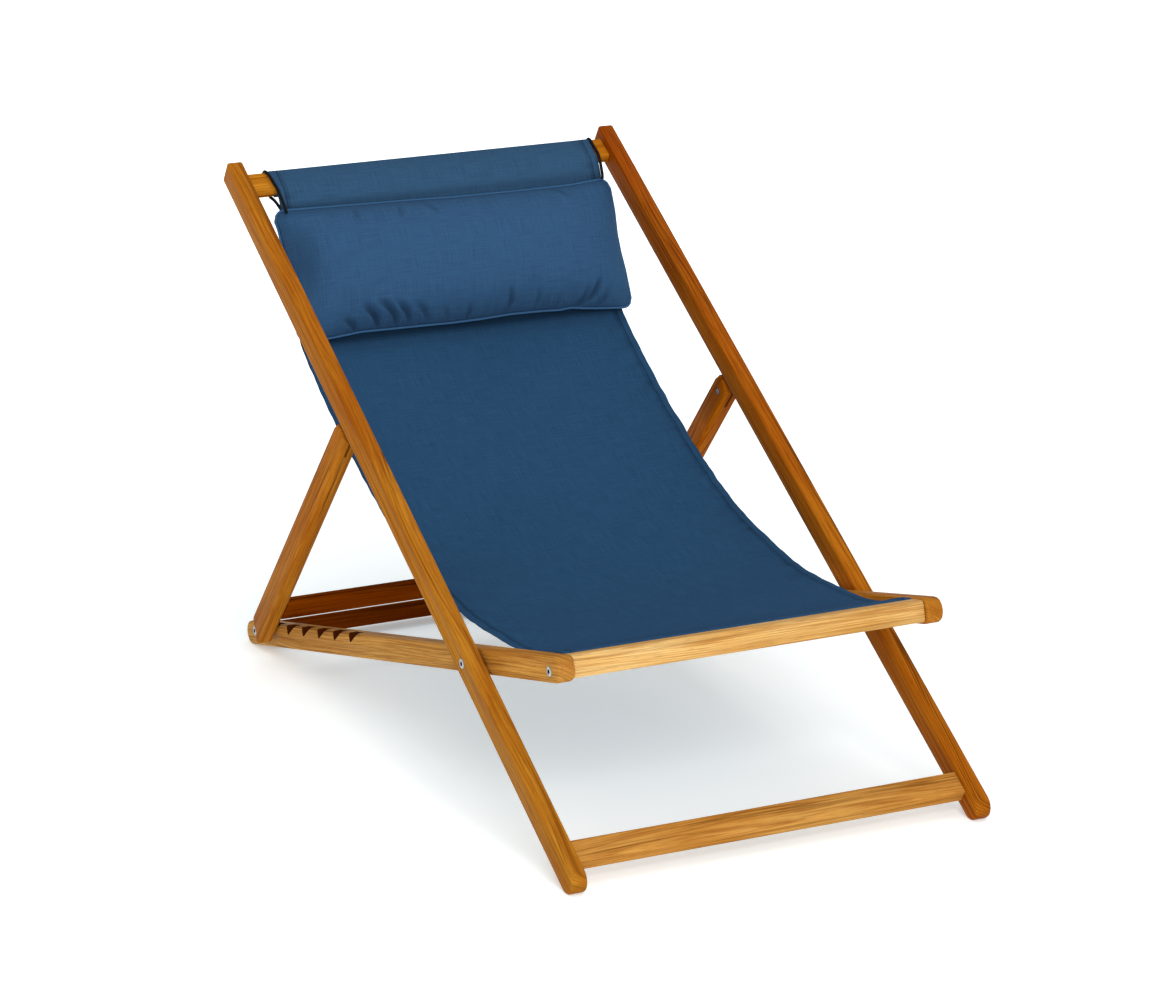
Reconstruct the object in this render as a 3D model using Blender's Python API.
"""Folding deck chair with a fabric sling and a head pillow.

Three wooden frames share two hinge axes, both parallel to X:
  back frame  - two long rails, top crossbar, bottom crossbar (stands on its front feet)
  seat frame  - two seat rails inside the long rails, front bar, rear crossbar
  prop frame  - two arms hinged behind the long rails, one wide crossbar
The arms' steel pegs line up with the rearmost of six saw-tooth notches cut in
the outer upper edges of the seat rails, so the chair is in its lowest position.

Units are metres. +Z is up, the chair faces -Y, and +X is the sitter's left.
The origin is on the floor, midway between the four floor contacts.
Every 2-D point below is (along, up) in a frame's own side plane: along the rail,
then square to it. Cutters run a few millimetres past the faces they open.
"""
import math
from collections import namedtuple

import bmesh
import bpy
from mathutils import Matrix, Vector

for old in list(bpy.data.objects):
    bpy.data.objects.remove(old, do_unlink=True)

MM = 0.001
Section = namedtuple("Section", "start end low high")   # along from/to, up from/to


def mm(*values):
    """Millimetres to metres."""
    return tuple(value * MM for value in values)


def tenon_section(bar_section, along_in, low_in, high_in):
    """Section of a crossbar's tenon, set in from the bar's faces."""
    return Section(bar_section.start + along_in, bar_section.end - along_in,
                   bar_section.low + low_in, bar_section.high - high_in)


# ------------------------------------------------------------------ dimensions
CHAIR_WIDTH = 600 * MM          # over the long rails
RAIL_T = 23 * MM                # rail thickness, along X
RAIL_H = 34 * MM                # rail height, in the side plane
RAIL_GAP = 3 * MM               # washer gap between long rail and seat rail
EDGE_R = 3 * MM                 # rounding of the long edges
CLEAR = 0.3 * MM                # gap between two pieces that touch
FOOT_FLAT = 0.45 * MM           # depth of the flat each round foot stands on

PIVOT_TO_TOP = 912 * MM         # long rail: pivot to its square top end
PIVOT_TO_FOOT = 354 * MM        # long rail: pivot to the centre of the round foot
PIVOT_TO_SEAT_FRONT = 219 * MM  # seat rail: pivot to the centre of its round nose
PIVOT_TO_SEAT_REAR = 797 * MM   # seat rail: pivot to the centre of its round heel

HINGE_ALONG = 434.2 * MM        # prop hinge: distance up the long rail from the pivot
HINGE_BEHIND = 45 * MM          # prop hinge: distance behind the rail's centre line
PROP_REACH = 466.27 * MM        # prop hinge axis to peg axis
PEG_OFFSET = 5.5 * MM           # peg axis in front of the arm's centre line
PROP_TOP_R = 24 * MM            # round top end of the arm, about the hinge

NOTCH_FIRST = 424.5 * MM        # peg seat nearest the pivot, measured from the pivot
NOTCH_PITCH = 56.8 * MM
NOTCH_COUNT = 6
NOTCH_IN_USE = 6                # rearmost notch: lowest, most reclined position
NOTCH_RISE = 7 * MM             # peg axis above the seat rail's centre line
NOTCH_R = 3.5 * MM
NOTCH_LENGTH = 33.5 * MM        # opening of the notch along the rail
NOTCH_DEPTH_X = RAIL_T / 2      # blind depth from the rail's outer face
NOTCH_RAMP_BEND = mm(-13, 7.2)  # ramp's control point, from the ramp's low end

TOP_BAR = Section(*mm(861, 897, -9, 6))
BOTTOM_BAR = Section(*mm(-335.5, -302, -10, 10))
FRONT_BAR = Section(*mm(-229, -180, -13.5, 15.5))
REAR_BAR = Section(*mm(766.5, 800.5, -12, 11))
PROP_BAR = Section(*mm(379, 421, -17, -5))
TOP_TENON = tenon_section(TOP_BAR, *mm(6, 4, 4))
BOTTOM_TENON = tenon_section(BOTTOM_BAR, *mm(6, 4, 4))
PROP_TENON = tenon_section(PROP_BAR, *mm(6, 4, 3))
TENON_L = 14 * MM

SLING_HALF = 249 * MM
SLING_T = 1.2 * MM
ROD_R = 3 * MM
ROD_BORE_R = 5 * MM
SLOT_W = 3.4 * MM
LOOP_R = ROD_R + CLEAR + SLING_T / 2        # centre line of the hem round its rod
TOP_ROD = mm(874, -1.5)
TOP_SLOT = TOP_ROD[1] - LOOP_R              # up of the slot's centre, tangent to the hem
FRONT_ROD = mm(-203, 7.5)
FRONT_SLOT = FRONT_ROD[0] + LOOP_R          # along of the slot's centre

HEAD_R = 7 * MM                 # flat-head bolts and screws
HEAD_SUNK = 0.3 * MM            # top of the head below the wood
HEAD_EASE = 0.6 * MM            # chamfer of the head's rim
HEAD_END = 4.4 * MM             # end of the head's cone below the wood
SHANK_R = 3 * MM
SHANK_BORE_R = SHANK_R + CLEAR
HEX_R = 2.6 * MM
HEX_DEPTH = 3 * MM              # below the wood

FRONT_SCREW = mm(-204.5, -2.7)
REAR_SCREW = mm(783.5, 3.0)
FRONT_DOWEL = mm(-190, -6.0)
REAR_DOWEL = mm(774.0, -4.5)
SCREWS = (FRONT_SCREW, REAR_SCREW)
DOWELS = (FRONT_DOWEL, REAR_DOWEL)
SCREW_IN_BAR = 37 * MM
SCREW_POINT_L = 3 * MM
SCREW_POINT_R = 1.2 * MM
DOWEL_R = 3 * MM
DOWEL_IN_RAIL = 12 * MM
DOWEL_IN_BAR = 15 * MM

PLATE_R = 12 * MM               # hinge plate: half width and round free end
PLATE_HALF_T = 1.5 * MM
PLATE_LET_IN = 18 * MM          # depth of the plate in the rail
KERF_HALF_T = 2 * MM            # slot for the plate in the prop arm
WASHER_R = 9 * MM
SLEEVE_R = 5 * MM
HINGE_HEAD_R = 4.6 * MM
HINGE_COUNTERBORE_R = 5 * MM
PEG_R = 3 * MM
PEG_IN_ARM = 14 * MM

X_OUT = CHAIR_WIDTH / 2
X_IN = X_OUT - RAIL_T           # inner face of the long rails and prop arms
XS_OUT = X_IN - RAIL_GAP        # outer face of the seat rails
XS_IN = XS_OUT - RAIL_T
PLATE_X = X_OUT - RAIL_T / 2    # middle of the hinge plate
HALF_H = RAIL_H / 2
FLAT_HALF = math.degrees(math.acos(1 - FOOT_FLAT / HALF_H))   # half angle of the foot's flat

SIDES = (("left", -1.0), ("right", 1.0))   # left and right as seen from the front
WHOLE = 1.0                                # side value of a shape that spans the middle
CENTRE = (0.0, 0.0)                        # (along, up) of a frame's own axis

# ------------------------------------------------------ frame angles, solved
NOTCH_ALONG = NOTCH_FIRST + (NOTCH_IN_USE - 1) * NOTCH_PITCH
pivot_to_hinge = math.hypot(HINGE_ALONG, HINGE_BEHIND)
pivot_to_peg = math.hypot(NOTCH_ALONG, NOTCH_RISE)
# the triangle pivot - hinge - peg gives the opening angle between the two frames
OPENING = (math.acos((pivot_to_hinge ** 2 + pivot_to_peg ** 2 - PROP_REACH ** 2)
                     / (2 * pivot_to_hinge * pivot_to_peg))
           + math.atan2(HINGE_BEHIND, HINGE_ALONG) + math.atan2(NOTCH_RISE, NOTCH_ALONG))
# both ends rest on the floor on equal radii, which splits the opening in two
BACK_TILT = math.atan2(PIVOT_TO_SEAT_REAR * math.sin(OPENING),
                       PIVOT_TO_FOOT + PIVOT_TO_SEAT_REAR * math.cos(OPENING))
SEAT_TILT = OPENING - BACK_TILT
PIVOT = Vector((0.0,
                (PIVOT_TO_FOOT * math.cos(BACK_TILT)
                 - PIVOT_TO_SEAT_REAR * math.cos(SEAT_TILT)) / 2,
                HALF_H - FOOT_FLAT + PIVOT_TO_FOOT * math.sin(BACK_TILT)))


def world_yz(origin, angle, along, up):
    """World (y, z) of a point given in a frame tilted by angle about X."""
    c, s = math.cos(angle), math.sin(angle)
    return (origin.y + along * c - up * s, origin.z + along * s + up * c)


hinge_y, hinge_z = world_yz(PIVOT, BACK_TILT, HINGE_ALONG, -HINGE_BEHIND)
peg_y, peg_z = world_yz(PIVOT, -SEAT_TILT, NOTCH_ALONG, NOTCH_RISE)
HINGE = Vector((0.0, hinge_y, hinge_z))
PROP_TILT = -(math.atan2(peg_z - hinge_z, peg_y - hinge_y)
              + math.asin(PEG_OFFSET / PROP_REACH))
PEG = (math.sqrt(PROP_REACH ** 2 - PEG_OFFSET ** 2), -PEG_OFFSET)


def frame_axis(name, location, angle):
    empty = bpy.data.objects.new(name, None)
    empty.empty_display_size = 0.05
    empty.location = location
    empty.rotation_euler = (angle, 0.0, 0.0)
    bpy.context.scene.collection.objects.link(empty)
    return empty


BACK = frame_axis("back_frame_axis", PIVOT, BACK_TILT)   # local Y runs up the long rails
SEAT = frame_axis("seat_fold_axis", PIVOT, -SEAT_TILT)   # local Y runs back along the rails
PROP = frame_axis("prop_fold_axis", HINGE, -PROP_TILT)   # local Y runs down the arms

# ------------------------------------------------------------------ materials
Finish = namedtuple("Finish", "color roughness metallic")
TEAK = Finish(color=(0.47, 0.25, 0.085, 1.0), roughness=0.55, metallic=0.0)
FRONT_BAR_TEAK = TEAK._replace(roughness=0.5)
DARK_TEAK = Finish(color=(0.30, 0.13, 0.04, 1.0), roughness=0.6, metallic=0.0)
DOWEL_TEAK = DARK_TEAK._replace(roughness=0.7)
STEEL = Finish(color=(0.62, 0.63, 0.65, 1.0), roughness=0.35, metallic=1.0)
BOLT_STEEL = STEEL._replace(roughness=0.3)
BRASS = Finish(color=(0.65, 0.50, 0.22, 1.0), roughness=0.4, metallic=1.0)
NYLON = Finish(color=(0.75, 0.75, 0.72, 1.0), roughness=0.5, metallic=0.0)
BLUE_CLOTH = Finish(color=(0.035, 0.085, 0.17, 1.0), roughness=0.9, metallic=0.0)
BLACK_CORD = Finish(color=(0.012, 0.012, 0.014, 1.0), roughness=0.7, metallic=0.0)


def material(name, finish):
    made = bpy.data.materials.new(name + "_finish")
    made.use_nodes = True
    inputs = made.node_tree.nodes["Principled BSDF"].inputs
    inputs["Base Color"].default_value = finish.color
    inputs["Roughness"].default_value = finish.roughness
    inputs["Metallic"].default_value = finish.metallic
    made.diffuse_color = finish.color
    return made


# -------------------------------------------------------------------- objects
def place(bm, name, parent, finish=None, sharp_angle=35.0):
    """Turns a bmesh into a named object under its frame's axis."""
    bmesh.ops.recalc_face_normals(bm, faces=bm.faces[:])
    mesh = bpy.data.meshes.new(name)
    bm.to_mesh(mesh)
    bm.free()
    placed = bpy.data.objects.new(name, mesh)
    bpy.context.scene.collection.objects.link(placed)
    placed.parent = parent
    if finish:
        mesh.materials.append(material(name, finish))
        mesh.shade_smooth()
        mesh.set_sharp_from_angle(angle=math.radians(sharp_angle))
    return placed


def helper(bm, name, parent):
    """A cutter or a body to be added: never part of the chair by itself."""
    tool = place(bm, name, parent)
    tool.hide_render = True
    tool.display_type = 'WIRE'
    return tool


def boolean(target, tool, operation='DIFFERENCE'):
    modifier = target.modifiers.new(operation.lower() + "_" + tool.name, 'BOOLEAN')
    modifier.operation = operation
    modifier.object = tool


# ------------------------------------------------------------- shape builders
# Each adds to bm and returns it. X values are multiplied by side.
def prism(bm, side, x0, x1, outline, rim=0.0, segments=2, corners=()):
    """Extrudes a side-plane outline along X.

    In a bm that was empty, rim rounds both end outlines and the edges along X
    that start at the outline points listed in corners.
    """
    verts = [bm.verts.new((side * x0, along, up)) for along, up in outline]
    extruded = bmesh.ops.extrude_face_region(bm, geom=[bm.faces.new(verts)])
    moved = [v for v in extruded["geom"] if isinstance(v, bmesh.types.BMVert)]
    bmesh.ops.translate(bm, vec=(side * (x1 - x0), 0, 0), verts=moved)
    if rim:
        marked = {verts[i] for i in corners}
        edges = [e for e in bm.edges
                 if abs(e.verts[0].co.x - e.verts[1].co.x) < 1e-9
                 or e.verts[0] in marked or e.verts[1] in marked]
        bmesh.ops.bevel(bm, geom=edges, offset=rim, segments=segments, profile=0.5,
                        affect='EDGES', clamp_overlap=True)
    return bm


def box(bm, side, x0, x1, section):
    start, end, low, high = section
    middle = (side * (x0 + x1) / 2, (start + end) / 2, (low + high) / 2)
    size = (abs(x1 - x0), end - start, high - low, 1.0)
    bmesh.ops.create_cube(bm, size=1.0, matrix=Matrix.Translation(middle) @ Matrix.Diagonal(size))
    return bm


def rod(bm, side, x0, x1, at, radius, segments=16):
    """Round bar along X, centred on the point at."""
    turn = math.radians(math.copysign(90, side * (x1 - x0)))
    matrix = Matrix.Translation((side * (x0 + x1) / 2, *at)) @ Matrix.Rotation(turn, 4, 'Y')
    bmesh.ops.create_cone(bm, cap_ends=True, segments=segments, radius1=radius,
                          radius2=radius, depth=abs(x1 - x0), matrix=matrix)
    return bm


def turned(bm, side, profile, at):
    """Spins an (x, radius) profile that starts and ends on the axis through at."""
    along, up = at
    verts = [bm.verts.new((side * x, along + radius, up)) for x, radius in profile]
    edges = [bm.edges.new(pair) for pair in zip(verts, verts[1:])]
    bmesh.ops.spin(bm, geom=verts + edges, cent=(0, along, up), axis=(1, 0, 0),
                   dvec=(0, 0, 0), angle=math.radians(360), steps=20, use_merge=True)
    bmesh.ops.remove_doubles(bm, verts=bm.verts[:], dist=1e-6)
    return bm


def arc(centre, radius, start, end, steps):
    """Points on an arc, angles in degrees."""
    angles = [math.radians(start + (end - start) * i / steps) for i in range(steps + 1)]
    return [(centre[0] + radius * math.cos(angle), centre[1] + radius * math.sin(angle))
            for angle in angles]


def rounded_rect(section, radii, steps):
    """Radii are for the corners (end, high), (start, high), (start, low), (end, low)."""
    start, end, low, high = section
    r1, r2, r3, r4 = radii
    return (arc((end - r1, high - r1), r1, 0, 90, steps)
            + arc((start + r2, high - r2), r2, 90, 180, steps)
            + arc((start + r3, low + r3), r3, 180, 270, steps)
            + arc((end - r4, low + r4), r4, 270, 360, steps))


def foot_arc(along, start, end, floor_direction, steps):
    """Round rail end with a flat facing the floor direction (all angles in degrees)."""
    flat_start, flat_end = floor_direction - FLAT_HALF, floor_direction + FLAT_HALF
    steps_before = max(1, round(steps * (flat_start - start) / (end - start)))
    steps_after = max(1, round(steps * (end - flat_end) / (end - start)))
    before = arc((along, 0), HALF_H, start, flat_start, steps_before)
    if flat_start - start < 2:      # too short an arc: the flat starts at the rail's edge
        before = before[:1]
    return before + arc((along, 0), HALF_H, flat_end, end, steps_after)


def sunk_bore(bm, side, outer, inner, at):
    """Bolt hole from the outer face (|x| = outer) to |x| = inner, countersunk outside."""
    return turned(bm, side, [(outer + 1 * MM, 0), (outer + 1 * MM, HEAD_R + 2.4 * MM),
                             (outer - HEAD_END - 0.2 * MM, SHANK_BORE_R),
                             (inner, SHANK_BORE_R), (inner, 0)], at)


def flat_head(side, outer, tip, at, pointed=False):
    """Flat-head bolt, head just below |x| = outer and shank ending at |x| = tip."""
    top = outer - HEAD_SUNK
    profile = [(top, 0), (top, HEAD_R - HEAD_EASE), (top - HEAD_EASE, HEAD_R),
               (outer - HEAD_END, SHANK_R)]
    if pointed:
        profile += [(tip + SCREW_POINT_L, SHANK_R), (tip, SCREW_POINT_R), (tip, 0)]
    else:
        profile += [(tip, SHANK_R), (tip, 0)]
    return turned(bmesh.new(), side, profile, at)


def hex_socket(bm, side, outer, at):
    return rod(bm, side, outer - HEX_DEPTH, outer + 2 * MM, at, HEX_R, 6)


def bar(name, section, half_length, radii, parent, finish, steps=3, rim=0.0):
    """Crossbar of rounded section."""
    outline = rounded_rect(section, radii, steps)
    return place(prism(bmesh.new(), WHOLE, -half_length, half_length, outline, rim),
                 name, parent, finish)


def add_tenons(crossbar, tenon):
    """Adds a tongue at both ends of a crossbar."""
    bm = bmesh.new()
    for _, side in SIDES:
        box(bm, side, X_IN - 8 * MM, X_IN + TENON_L, tenon)
    boolean(crossbar, helper(bm, "tenons_" + crossbar.name, crossbar.parent), 'UNION')


def mortise(bm, side, tenon):
    pocket = Section(tenon.start - CLEAR, tenon.end + CLEAR, tenon.low - CLEAR,
                     tenon.high + CLEAR)
    return box(bm, side, X_IN - 1 * MM, X_IN + TENON_L + CLEAR, pocket)


# ------------------------------------------------------------------ back frame
def long_rails():
    cutter = bmesh.new()
    plate_slot = Section(HINGE_ALONG - PLATE_R - CLEAR, HINGE_ALONG + PLATE_R + CLEAR,
                         -HALF_H - 5 * MM, -HALF_H + PLATE_LET_IN + CLEAR)
    slot_half = PLATE_HALF_T + CLEAR
    for _, side in SIDES:
        mortise(cutter, side, TOP_TENON)
        mortise(cutter, side, BOTTOM_TENON)
        sunk_bore(cutter, side, X_OUT, X_IN - 5 * MM, CENTRE)
        box(cutter, side, PLATE_X - slot_half, PLATE_X + slot_half, plate_slot)
    cutter = helper(cutter, "openings_long_rails", BACK)

    outline = foot_arc(-PIVOT_TO_FOOT, 90, 270, 270 - math.degrees(BACK_TILT), 10)
    outline += [(PIVOT_TO_TOP, -HALF_H), (PIVOT_TO_TOP, HALF_H)]
    for name, side in SIDES:
        bm = prism(bmesh.new(), side, X_IN, X_OUT, outline, rim=EDGE_R, corners=(-1, -2))
        boolean(place(bm, "long_rail_" + name, BACK, TEAK), cutter)


def top_crossbar():
    """Crossbar with a keyhole groove along its lower edge for the sling's rod."""
    crossbar = bar("top_crossbar", TOP_BAR, X_IN - CLEAR, mm(3, 3, 3, 3), BACK, TEAK)
    add_tenons(crossbar, TOP_TENON)
    mouth = TOP_BAR.start - 4 * MM
    slot_low, slot_high = TOP_SLOT - SLOT_W / 2, TOP_SLOT + SLOT_W / 2
    # the slot's lower face lies below the bore, so its angle stops at the bore's bottom
    low = math.degrees(math.asin(max(-1, (slot_low - TOP_ROD[1]) / ROD_BORE_R)))
    high = math.degrees(math.asin((slot_high - TOP_ROD[1]) / ROD_BORE_R))
    keyhole = [(mouth, slot_high), (mouth, slot_low)]
    keyhole += arc(TOP_ROD, ROD_BORE_R, 180 - low, 540 - high, 14)
    groove = prism(bmesh.new(), WHOLE, -X_IN + 2 * MM, X_IN - 2 * MM, keyhole)
    boolean(crossbar, helper(groove, "groove_top_crossbar", BACK))


def bottom_crossbar():
    crossbar = bar("bottom_crossbar", BOTTOM_BAR, X_IN - CLEAR, mm(2.5, 2.5, 2.5, 2.5),
                   BACK, TEAK)
    add_tenons(crossbar, BOTTOM_TENON)


def hinge_plate(name, side, bores):
    """Steel tongue let into the rail's rear edge, round the hinge bolt at its free end."""
    inner_end = -HALF_H + PLATE_LET_IN
    outline = [(HINGE_ALONG + PLATE_R, inner_end), (HINGE_ALONG - PLATE_R, inner_end)]
    outline += arc((HINGE_ALONG, -HINGE_BEHIND), PLATE_R, 180, 360, 10)
    bm = prism(bmesh.new(), side, PLATE_X - PLATE_HALF_T, PLATE_X + PLATE_HALF_T, outline)
    boolean(place(bm, "hinge_plate_" + name, BACK, STEEL), bores)


def pivot_bolt(name, side, sockets):
    """Flat head outside, shank through the long rail and into the seat rail."""
    bm = flat_head(side, X_OUT, XS_IN + 3 * MM, CENTRE)
    boolean(place(bm, "pivot_bolt_" + name, BACK, BOLT_STEEL), sockets)


def pivot_washer(name, side, bores):
    """Washer in the gap between the rails."""
    bm = rod(bmesh.new(), side, XS_OUT + CLEAR, X_IN - CLEAR, CENTRE, WASHER_R, 24)
    boolean(place(bm, "pivot_washer_" + name, BACK, NYLON), bores)


def back_hardware():
    bores = bmesh.new()
    sockets = bmesh.new()
    for _, side in SIDES:
        rod(bores, side, PLATE_X - 4 * MM, PLATE_X + 4 * MM, (HINGE_ALONG, -HINGE_BEHIND),
            SHANK_BORE_R)
        rod(bores, side, XS_OUT - 2 * MM, X_IN + 2 * MM, CENTRE, SHANK_BORE_R, 24)
        hex_socket(sockets, side, X_OUT, CENTRE)
    bores = helper(bores, "bores_back_frame", BACK)
    sockets = helper(sockets, "sockets_back_frame", BACK)
    for name, side in SIDES:
        hinge_plate(name, side, bores)
        pivot_bolt(name, side, sockets)
        pivot_washer(name, side, bores)


# ------------------------------------------------------------------ seat frame
def notch_outline(index):
    """Saw-tooth: square rear wall, round seat for the peg, hollow ramp toward the front."""
    centre = NOTCH_FIRST + index * NOTCH_PITCH
    top = HALF_H + 3 * MM
    wall = centre + NOTCH_R
    points = [(wall, top)] + arc((centre, NOTCH_RISE), NOTCH_R, 0, -120, 4)
    ramp_start = points[-1]
    ramp_end = (wall - NOTCH_LENGTH, HALF_H)
    bend = (ramp_start[0] + NOTCH_RAMP_BEND[0], ramp_start[1] + NOTCH_RAMP_BEND[1])
    for i in range(1, 6):                      # quadratic curve up the ramp
        t = i / 5
        points.append(tuple((1 - t) ** 2 * p + 2 * t * (1 - t) * q + t * t * r
                            for p, q, r in zip(ramp_start, bend, ramp_end)))
    points.append((ramp_end[0], top))
    return points


def seat_rails():
    cutter = bmesh.new()
    for _, side in SIDES:
        for index in range(NOTCH_COUNT):
            prism(cutter, side, XS_OUT - NOTCH_DEPTH_X, XS_OUT + 3 * MM, notch_outline(index))
        for at in SCREWS:
            sunk_bore(cutter, side, XS_OUT, XS_IN - 5 * MM, at)
        for at in DOWELS:
            rod(cutter, side, XS_IN - 2 * MM, XS_IN + DOWEL_IN_RAIL + CLEAR, at,
                DOWEL_R + CLEAR, 12)
        rod(cutter, side, XS_IN - 2 * MM, XS_OUT + 2 * MM, CENTRE, SLEEVE_R + CLEAR, 20)
    cutter = helper(cutter, "openings_seat_rails", SEAT)

    outline = arc((-PIVOT_TO_SEAT_FRONT, 0), HALF_H, 90, 270, 10)
    outline += foot_arc(PIVOT_TO_SEAT_REAR, -90, 90, -90 + math.degrees(SEAT_TILT), 10)
    for name, side in SIDES:
        bm = prism(bmesh.new(), side, XS_IN, XS_OUT, outline, rim=EDGE_R)
        boolean(place(bm, "seat_rail_" + name, SEAT, TEAK), cutter)


def pivot_sleeve(name, side, bores):
    """Sleeve in the seat rail, turning on the pivot bolt."""
    bm = rod(bmesh.new(), side, XS_IN + 0.5 * MM, XS_OUT - 0.2 * MM, CENTRE, SLEEVE_R, 20)
    boolean(place(bm, "pivot_sleeve_" + name, SEAT, BRASS), bores)


def bar_fixings(name, side, sockets):
    """Screw and dowel between a seat rail and each of its two bars."""
    for end, screw, dowel in zip(("front", "rear"), SCREWS, DOWELS):
        bm = flat_head(side, XS_OUT, XS_IN - SCREW_IN_BAR, screw, pointed=True)
        boolean(place(bm, end + "_bar_screw_" + name, SEAT, BOLT_STEEL), sockets)
        bm = rod(bmesh.new(), side, XS_IN + DOWEL_IN_RAIL, XS_IN - DOWEL_IN_BAR, dowel,
                 DOWEL_R, 12)
        place(bm, end + "_bar_dowel_" + name, SEAT, DOWEL_TEAK)


def seat_hardware():
    bores = bmesh.new()
    sockets = bmesh.new()
    for _, side in SIDES:
        rod(bores, side, XS_IN - 3 * MM, XS_OUT + 3 * MM, CENTRE, SHANK_BORE_R, 20)
        for at in SCREWS:
            hex_socket(sockets, side, XS_OUT, at)
    bores = helper(bores, "bores_pivot_sleeves", SEAT)
    sockets = helper(sockets, "sockets_seat_frame", SEAT)
    for name, side in SIDES:
        pivot_sleeve(name, side, bores)
        bar_fixings(name, side, sockets)


def front_seat_bar():
    """Bar with a rounded nose and a keyhole groove in its top face for the front rod."""
    crossbar = bar("front_seat_bar", FRONT_BAR, XS_IN - 1 * MM, mm(4, 7, 5, 4), SEAT,
                   FRONT_BAR_TEAK, steps=4, rim=1.5 * MM)
    mouth = FRONT_BAR.high + 4 * MM
    slot_front, slot_rear = FRONT_SLOT - SLOT_W / 2, FRONT_SLOT + SLOT_W / 2
    # the slot's rear face lies behind the bore, so its angle stops at the bore's rear
    rear = math.degrees(math.acos(min(1, (slot_rear - FRONT_ROD[0]) / ROD_BORE_R)))
    front = math.degrees(math.acos((slot_front - FRONT_ROD[0]) / ROD_BORE_R))
    keyhole = [(slot_front, mouth), (slot_rear, mouth)]
    keyhole += arc(FRONT_ROD, ROD_BORE_R, rear, front - 360, 14)
    groove_half = SLING_HALF + 0.4 * MM
    groove = prism(bmesh.new(), WHOLE, -groove_half, groove_half, keyhole)
    boolean(crossbar, helper(groove, "groove_front_seat_bar", SEAT))
    return crossbar


def seat_bars():
    front = front_seat_bar()
    rear = bar("rear_crossbar", REAR_BAR, XS_IN - CLEAR, mm(2.5, 2.5, 2.5, 2.5), SEAT,
               DARK_TEAK)
    cutter = bmesh.new()
    for _, side in SIDES:
        for at in SCREWS:
            rod(cutter, side, XS_IN + 2 * MM, XS_IN - SCREW_IN_BAR - 1 * MM, at, SHANK_BORE_R)
        for at in DOWELS:
            rod(cutter, side, XS_IN + 2 * MM, XS_IN - DOWEL_IN_BAR - 0.5 * MM, at,
                DOWEL_R + CLEAR, 12)
    cutter = helper(cutter, "bores_seat_bars", SEAT)
    boolean(front, cutter)
    boolean(rear, cutter)


# ------------------------------------------------------------------ prop frame
def prop_arm_outline():
    edge = math.degrees(math.asin(HALF_H / PROP_TOP_R))
    outline = arc(CENTRE, PROP_TOP_R, 180 + edge, 180 - edge + 9, 6)          # round top end
    outline += [(-15 * MM, HALF_H - 2.2 * MM), (-9 * MM, HALF_H)]             # eased rear corner
    outline += [(458 * MM, HALF_H), (463 * MM, HALF_H - 3 * MM), mm(469, -4),
                mm(478, -13), (476 * MM, -HALF_H)]                            # lower end
    return outline


def prop_arms():
    kerf = bmesh.new()
    cutter = bmesh.new()
    for _, side in SIDES:
        box(kerf, side, PLATE_X - KERF_HALF_T, PLATE_X + KERF_HALF_T,
            Section(*mm(-40, 17, -30, 30)))
        mortise(cutter, side, PROP_TENON)
        # hinge bolt's hole, counterbored from the inner face and blind outward
        turned(cutter, side, [(X_IN - 3 * MM, 0), (X_IN - 3 * MM, HINGE_COUNTERBORE_R),
                              (X_IN + 3 * MM, HINGE_COUNTERBORE_R),
                              (X_IN + 3 * MM, SHANK_BORE_R),
                              (X_OUT - 5 * MM, SHANK_BORE_R), (X_OUT - 5 * MM, 0)], CENTRE)
        rod(cutter, side, X_IN - 3 * MM, X_IN + PEG_IN_ARM + CLEAR, PEG, PEG_R + CLEAR)
    kerf = helper(kerf, "kerf_prop_arms", PROP)
    cutter = helper(cutter, "openings_prop_arms", PROP)
    for name, side in SIDES:
        bm = prism(bmesh.new(), side, X_IN, X_OUT, prop_arm_outline(), rim=EDGE_R * 0.9)
        arm = place(bm, "prop_arm_" + name, PROP, TEAK)
        boolean(arm, kerf)
        boolean(arm, cutter)


def hinge_bolt(name, side):
    """Bolt entered from the inside, blind toward the outside."""
    head_top, head_end, tip = X_IN + 0.5 * MM, X_IN + 2.7 * MM, X_OUT - 5.5 * MM
    profile = [(head_top, 0), (head_top, HINGE_HEAD_R), (head_end, HINGE_HEAD_R),
               (head_end, SHANK_R), (tip, SHANK_R), (tip, 0)]
    place(turned(bmesh.new(), side, profile, CENTRE), "hinge_bolt_" + name, PROP, STEEL)


def prop_peg(name, side):
    """Steel pin in the arm, its inner end stopping short of the seat rail."""
    bm = rod(bmesh.new(), side, XS_OUT + CLEAR, X_IN + PEG_IN_ARM, PEG, PEG_R)
    place(bm, "prop_peg_" + name, PROP, STEEL)


def prop_crossbar():
    crossbar = bar("prop_crossbar", PROP_BAR, X_IN - CLEAR, mm(2.5, 2.5, 2.5, 2.5), PROP,
                   DARK_TEAK)
    add_tenons(crossbar, PROP_TENON)


# ----------------------------------------------------------------------- sling
# Free span of the cloth in the back frame's side plane, front to top: (along, up) in mm
SAG = [
    (-100, 125), (-66, 83), (-14, 42), (40, 5), (94, -28), (170, -61), (255, -91),
    (330, -107), (424, -117), (530, -122), (620, -119), (694, -108), (760, -70),
    (800, -38), (835, -8.5), (851, 4.2),
]
WRAP_GAP = 1 * MM               # cloth's centre line off the faces of the top crossbar


def seat_to_back(along, up):
    """Point of the seat frame's side plane in the back frame's side plane."""
    c, s = math.cos(OPENING), math.sin(OPENING)
    return (along * c + up * s, -along * s + up * c)


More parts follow.
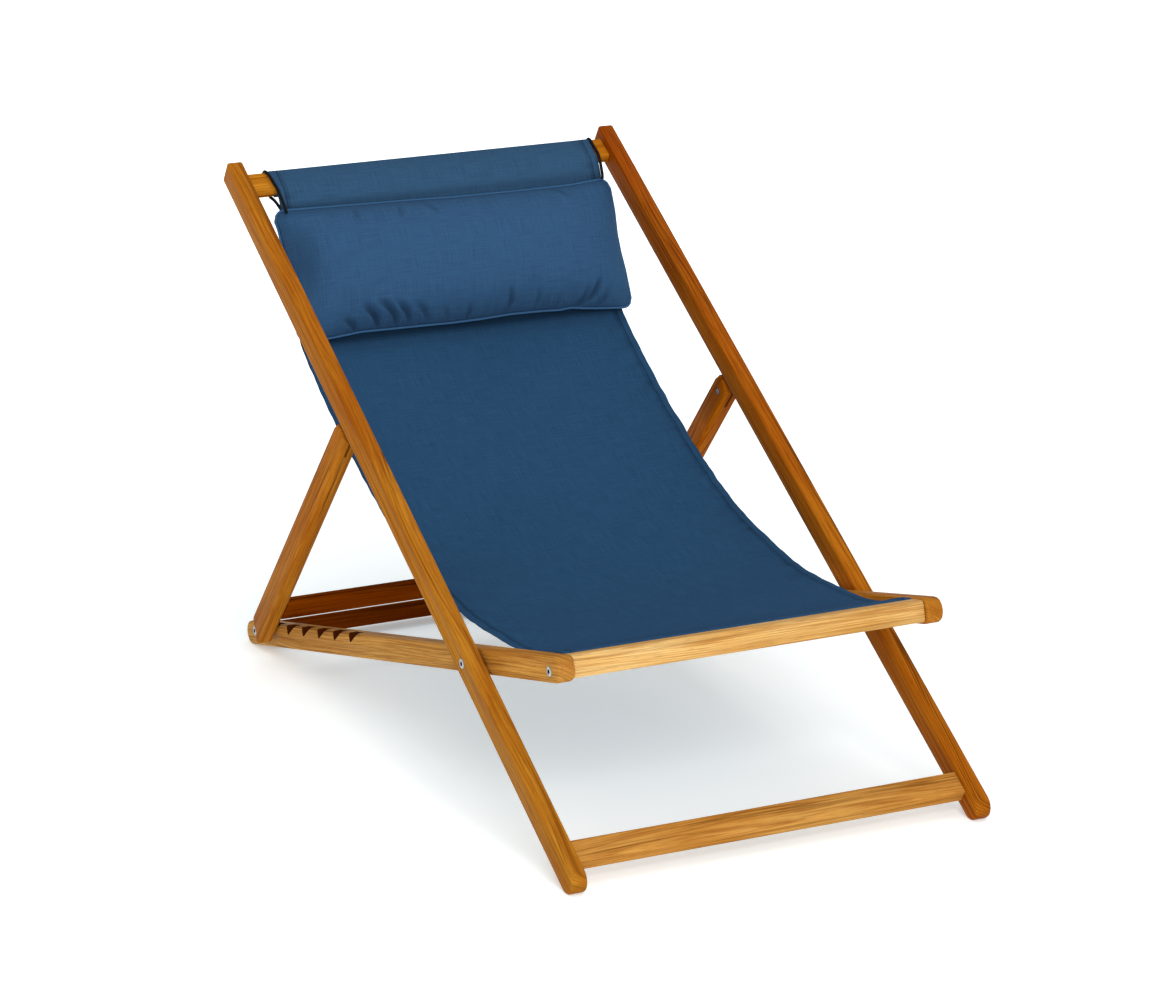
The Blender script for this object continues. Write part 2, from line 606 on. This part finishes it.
def front_wrap():
    """Hem round the front rod, then out of the slot and over the front bar."""
    hem = arc(FRONT_ROD, LOOP_R, -305, 0, 14)
    over = [(FRONT_SLOT, 10.5 * MM), (FRONT_SLOT - 0.2 * MM, 14.5 * MM),
            (FRONT_SLOT + 0.4 * MM, 16.2 * MM), (FRONT_SLOT + 2.6 * MM, 16.9 * MM),
            mm(-190, 16.6), mm(-180, 16.6)]
    return [seat_to_back(*point) for point in hem + over]


def top_wrap():
    """Round the top crossbar, into its slot, and the hem round the top rod."""
    start, end, low, high = TOP_BAR
    gap = WRAP_GAP
    over = [(start + 5 * MM, high + gap + 0.2 * MM), (end - 3 * MM, high + gap),
            (end - 0.2 * MM, high - 0.1 * MM), (end + gap, high - 3 * MM),
            (end + gap, low + 3 * MM), (end - 0.2 * MM, low + 0.1 * MM),
            (end - 3 * MM, low - gap), (start + 3 * MM, low - gap),
            (start + 0.2 * MM, low + 0.1 * MM), (start - 1.2 * MM, low + 3 * MM),
            (start - 1.4 * MM, TOP_SLOT - 2.0 * MM), (start - 0.9 * MM, TOP_SLOT - 0.5 * MM),
            (start + 1.2 * MM, TOP_SLOT)]
    return over + arc(TOP_ROD, LOOP_R, -90, 215, 14)


def catmull(points, steps):
    """Smooth curve through the points with so many steps per span."""
    curve = []
    for i in range(len(points) - 1):
        near = (points[max(i - 1, 0)], points[i], points[i + 1],
                points[min(i + 2, len(points) - 1)])
        for k in range(steps):
            t = k / steps
            curve.append(tuple(
                0.5 * ((2 * b) + (-a + c) * t + (2 * a - 5 * b + 4 * c - d) * t * t
                       + (-a + 3 * b - 3 * c + d) * t ** 3)
                for a, b, c, d in zip(*near)))
    curve.append(points[-1])
    return curve


def strip(points, thickness):
    """Closed outline of a band of even thickness about a centre line."""
    left, right = [], []
    for i, point in enumerate(points):
        before = Vector(points[max(i - 1, 0)])
        after = Vector(points[min(i + 1, len(points) - 1)])
        direction = (after - before).normalized()
        offset = Vector((-direction.y, direction.x)) * thickness / 2
        left.append(tuple(Vector(point) + offset))
        right.append(tuple(Vector(point) - offset))
    return left + right[::-1]


def ribbon(points, thickness, x0, x1):
    """Band of even thickness swept along X, with quad faces all round."""
    bm = bmesh.new()
    line = strip(points, thickness)
    rows = [[bm.verts.new((x, along, up)) for along, up in line] for x in (x0, x1)]
    count = len(line)
    for i in range(count):
        j = (i + 1) % count
        bm.faces.new((rows[0][i], rows[0][j], rows[1][j], rows[1][i]))
    for row in rows:
        for i in range(len(points) - 1):
            bm.faces.new((row[i], row[i + 1], row[count - 2 - i], row[count - 1 - i]))
    return bm


def sling():
    front, top = front_wrap(), top_wrap()
    span = catmull([front[-1]] + [mm(*point) for point in SAG] + [top[0]], 3)
    centre_line = front[:-1] + span + top[1:]
    place(ribbon(centre_line, SLING_T, -SLING_HALF, SLING_HALF), "sling", BACK, BLUE_CLOTH,
          sharp_angle=60)


def sling_rods():
    for name, at, parent in (("top", TOP_ROD, BACK), ("front", FRONT_ROD, SEAT)):
        bm = rod(bmesh.new(), WHOLE, -SLING_HALF, SLING_HALF, at, ROD_R)
        place(bm, "sling_rod_" + name, parent, STEEL)


# ----------------------------------------------------------------- head pillow
PILLOW_HALF = 250 * MM
PILLOW_TOP = mm(820, -8)
PILLOW_BOTTOM = mm(672, -98)
PILLOW_STEPS = 12
PILLOW_BULGE_POWER = 2.2        # higher is flatter in the middle
# bulge and edge offset of each face from the line top - bottom
PILLOW_FRONT = mm(46, 4)
PILLOW_BACK = mm(-4, -3)


def head_pillow():
    top, bottom = Vector(PILLOW_TOP), Vector(PILLOW_BOTTOM)
    down = (bottom - top).normalized()
    forward = Vector((down.y, -down.x))
    length = (bottom - top).length

    def face(bulge, edge):
        """Points of one face, from the top down."""
        points = []
        for i in range(PILLOW_STEPS + 1):
            t = i / PILLOW_STEPS
            lift = bulge * (1 - abs(2 * t - 1) ** PILLOW_BULGE_POWER) + edge
            points.append(tuple(top + down * (length * t) + forward * lift))
        return points

    outline = face(*PILLOW_FRONT) + face(*PILLOW_BACK)[::-1]
    bm = prism(bmesh.new(), WHOLE, -PILLOW_HALF, PILLOW_HALF, outline, rim=2.5 * MM,
               segments=1)
    place(bm, "head_pillow", BACK, BLUE_CLOTH, sharp_angle=50)


# ---------------------------------------------------------------- elastic cords
CORD_R = 1.5 * MM               # half the side of the square cord
CORD_X = 252.5 * MM


def elastic_cords():
    """Cord at each end of the pillow, passing round the top crossbar."""
    start, end, low, high = TOP_BAR
    off = CORD_R + 0.5 * MM     # cord's centre line off the crossbar's faces
    loop = [mm(824, -10), mm(834, -3), (start + 2 * MM, high + off),
            (end - 3 * MM, high + off), (end + off * 0.8, high - 0.5 * MM),
            (end + off, low + 2 * MM), (end + off * 0.6, low - off * 0.6),
            (end - 4 * MM, low - off), (start + 2 * MM, low - off),
            (start - off - 1 * MM, low - 1 * MM), mm(846, -14), mm(824, -16)]
    for name, side in SIDES:
        bm = ribbon(loop, 2 * CORD_R, side * CORD_X - CORD_R, side * CORD_X + CORD_R)
        place(bm, "elastic_cord_" + name, BACK, BLACK_CORD)


# ----------------------------------------------------------------------- build
long_rails()
top_crossbar()
bottom_crossbar()
back_hardware()

seat_rails()
seat_hardware()
seat_bars()

prop_arms()
for side_name, side_sign in SIDES:
    hinge_bolt(side_name, side_sign)
    prop_peg(side_name, side_sign)
prop_crossbar()

sling()
sling_rods()
head_pillow()
elastic_cords()
